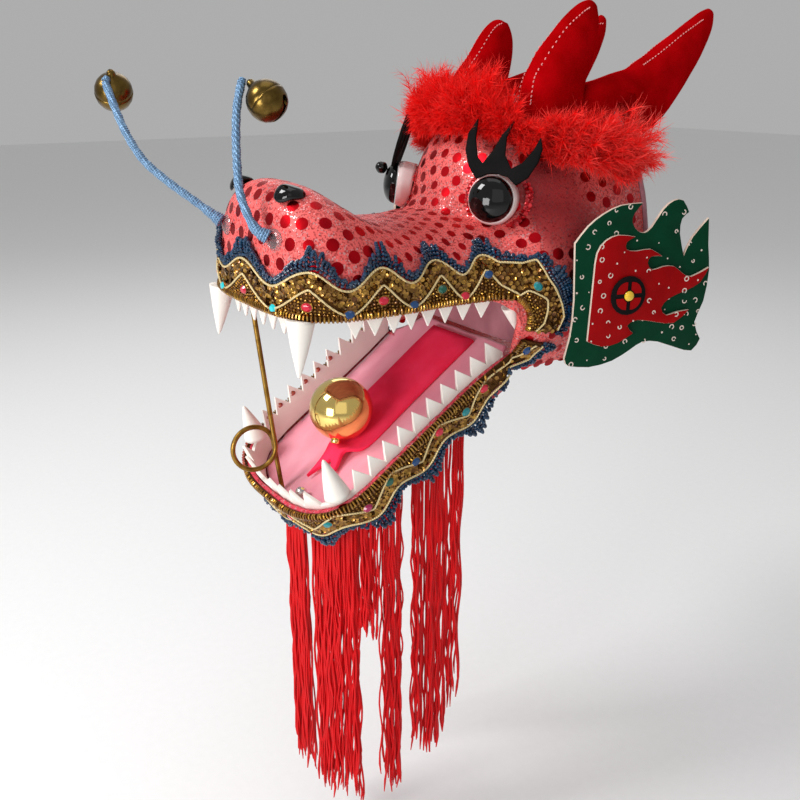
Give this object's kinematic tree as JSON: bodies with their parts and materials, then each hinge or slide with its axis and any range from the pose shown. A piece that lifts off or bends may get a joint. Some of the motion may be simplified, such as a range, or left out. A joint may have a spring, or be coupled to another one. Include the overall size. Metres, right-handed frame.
{
  "type": "handheld dragon dance prop",
  "caption": "Padded dragon head for dance and stage, open-mouthed with a pearl on its tongue, horns, feather trim, bells on wire feelers and a hanging cord fringe; a hand goes in at the back.",
  "frame": {"origin": "middle of the open back of the head, where the hand goes in, on the plane of the binding's flat back face", "axes": "the head faces -Y and stands upright along +Z; +X is the dragon's left"},
  "size_m": [0.2108, 0.3155, 0.4357],
  "materials": {
    "dot_cloth": "pink glitter cloth with red metallic dots",
    "mauve_cloth": "plain mauve cloth",
    "pink_satin": "light pink satin",
    "crimson": "crimson felt",
    "white_foam": "white foam, cut and sanded",
    "gold_braid": "gold sequin braid with cream cord and acrylic stones",
    "blue_beads": "dark blue glass seed beads",
    "black_gloss": "polished black",
    "eye_white": "off-white, slightly pink",
    "black_foam": "black craft foam",
    "red_felt": "red felt",
    "feather": "red marabou down",
    "green_foam": "dark green craft foam with a cream cut edge",
    "red_foam": "red craft foam with a cream cut edge",
    "yellow": "yellow bead",
    "blue_thread": "wire wrapped with steel-blue metallic thread",
    "brass": "brass-plated steel, a little dull",
    "gold": "gold-plated plastic, mirror finish",
    "silver": "bright",
    "copper": "thin copper wire",
    "red_cord": "red twisted cord"
  },
  "bodies": {
    "root": {"antenna_left": "blue_thread", "antenna_right": "blue_thread", "antler_left": "red_felt", "antler_right": "red_felt", "back_binding": "mauve_cloth", "bead_wire": "copper", "bell_left": "brass", "bell_right": "brass", "corner_fang_left": "white_foam", "corner_fang_right": "white_foam", "ear_back_left": "green_foam", "ear_back_right": "green_foam", "ear_button_left": "yellow", "ear_button_right": "yellow", "ear_disc_left": "black_foam", "ear_disc_right": "black_foam", "ear_front_left": "red_foam", "ear_front_right": "red_foam", "ear_spacer_left": "black_foam", "ear_spacer_right": "black_foam", "eye_bead_right": "black_gloss", "eye_dome_left": "black_gloss", "eye_dome_right": "black_gloss", "eye_white_left": "eye_white", "eye_white_right": "eye_white", "feather_boa": "feather", "fringe": "red_cord", "head_shell": "dot_cloth", "jaw_lining": "pink_satin", "lash_left": "black_foam", "lash_right": "black_foam", "lower_bead_edge": "blue_beads", "lower_fang_left": "white_foam", "lower_fang_right": "white_foam", "lower_jaw": "dot_cloth", "lower_teeth": "white_foam", "lower_trim": "gold_braid", "mouth_roof": "mauve_cloth", "nostril_left": "black_gloss", "nostril_right": "black_gloss", "pearl": "gold", "prop_rod": "brass", "silver_bead": "silver", "throat_gusset": "dot_cloth", "tongue": "crimson", "upper_bead_edge": "blue_beads", "upper_fang_left": "white_foam", "upper_fang_right": "white_foam", "upper_teeth": "white_foam", "upper_trim": "gold_braid"}
  },
  "joints": []
}
